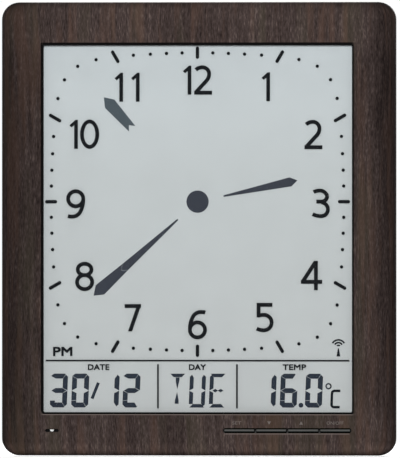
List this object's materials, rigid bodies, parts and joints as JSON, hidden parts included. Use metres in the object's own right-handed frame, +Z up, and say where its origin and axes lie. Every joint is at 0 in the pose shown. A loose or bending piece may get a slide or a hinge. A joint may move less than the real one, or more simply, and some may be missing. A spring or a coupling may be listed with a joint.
{
  "type": "digital wall clock",
  "caption": "Rectangular wall clock whose liquid crystal dial shows hands made of segments, with digital date, weekday and temperature below, in a wood-look frame.",
  "frame": {"origin": "middle of the flat back, in the plane that lies against the wall", "axes": "+X to the right seen from the front, +Y from the front to the wall, +Z up"},
  "size_m": [0.2474, 0.03, 0.284],
  "materials": {
    "wood_print": "satin moulded plastic with a printed dark wood grain",
    "trim_black": "smooth black plastic",
    "clear_plastic": "clear polished plastic sheet",
    "polariser": "thin grey film",
    "display_glass": "clear thin glass",
    "seal": "dull epoxy",
    "lit_segments": "dark blue-grey",
    "dial_ink": "printed black",
    "reflector": "fine silver-grey film",
    "black_plastic": "fine-grained black moulding",
    "foam": "black foam",
    "contact_rubber": "layered conductive rubber",
    "screw_steel": "zinc-plated steel",
    "board": "green lacquered circuit board",
    "resin": "black resin",
    "can": "drawn can",
    "bead": "dipped bead",
    "key_grey": "satin grey moulding",
    "switch_black": "black moulding",
    "ribbon": "flat grey cable",
    "light_guide": "milky clear plastic",
    "sensor_chip": "dark clear package",
    "cell_sleeve": "plain printed sleeve",
    "nickel": "nickel-plated spring steel",
    "lead_red": "soft insulation",
    "lead_black": "soft insulation",
    "ferrite": "dark ceramic",
    "copper_winding": "lacquered copper wire",
    "buzzer_brass": "thin polished disc"
  },
  "bodies": {
    "case": {"front_frame": "wood_print", "window_trim": "trim_black", "window_lens": "clear_plastic", "lens_gasket": "foam", "lcd_front_polariser": "polariser", "lcd_front_glass": "display_glass", "lcd_cell_seal": "seal", "lcd_segments": "lit_segments", "dial_print": "dial_ink", "lcd_rear_glass": "display_glass", "lcd_reflector": "reflector", "lcd_tray": "black_plastic", "tray_screws": "screw_steel", "zebra_strip": "contact_rubber", "main_board": "board", "driver_chips": "resin", "board_capacitors": "can", "clock_crystal": "can", "temperature_sensor": "bead", "main_board_screws": "screw_steel", "key_board": "board", "key_board_screws": "screw_steel", "key_switches": "switch_black", "key_ribbon": "ribbon", "sensor_holder": "black_plastic", "sensor_lens": "light_guide", "light_sensor": "sensor_chip", "sensor_board": "board", "sensor_board_screws": "screw_steel", "sensor_leads": "lead_black", "rear_case": "black_plastic", "case_screws": "screw_steel", "battery_upper": "cell_sleeve", "battery_lower": "cell_sleeve", "bridge_contact": "nickel", "positive_terminal": "nickel", "negative_terminal": "nickel", "contact_springs": "nickel", "battery_lead_red": "lead_red", "battery_lead_black": "lead_black", "aerial_rod": "ferrite", "aerial_coil": "copper_winding", "aerial_leads": "lead_black", "radio_board": "board", "radio_chip": "resin", "radio_leads": "lead_black", "buzzer_disc": "buzzer_brass", "buzzer_leads": "lead_black", "reset_switch": "switch_black"},
    "mode_key": {"mode_key": "key_grey", "mode_switch_plunger": "switch_black"},
    "down_key": {"down_key": "key_grey", "down_switch_plunger": "switch_black"},
    "up_key": {"up_key": "key_grey", "up_switch_plunger": "switch_black"},
    "alarm_key": {"alarm_key": "key_grey", "alarm_switch_plunger": "switch_black"},
    "reset_key": {"reset_key": "key_grey", "reset_switch_plunger": "switch_black"},
    "battery_cover": {"battery_cover": "black_plastic"}
  },
  "joints": [
    {"name": "mode_key_press", "type": "slide", "parent": "case", "child": "mode_key", "axis": [0, 1, 0], "range_m": [0, 0.0007], "stiffness_N_per_m": 800},
    {"name": "down_key_press", "type": "slide", "parent": "case", "child": "down_key", "axis": [0, 1, 0], "range_m": [0, 0.0007], "stiffness_N_per_m": 800},
    {"name": "up_key_press", "type": "slide", "parent": "case", "child": "up_key", "axis": [0, 1, 0], "range_m": [0, 0.0007], "stiffness_N_per_m": 800},
    {"name": "alarm_key_press", "type": "slide", "parent": "case", "child": "alarm_key", "axis": [0, 1, 0], "range_m": [0, 0.0007], "stiffness_N_per_m": 800},
    {"name": "reset_key_press", "type": "slide", "parent": "case", "child": "reset_key", "axis": [0, -1, 0], "range_m": [0, 0.0005], "stiffness_N_per_m": 800},
    {"name": "battery_cover_hinge", "type": "hinge", "parent": "case", "child": "battery_cover", "pos_m": [0, -0.0016, -0.01775], "axis": [1, 0, 0], "range_deg": [0, 95]}
  ]
}
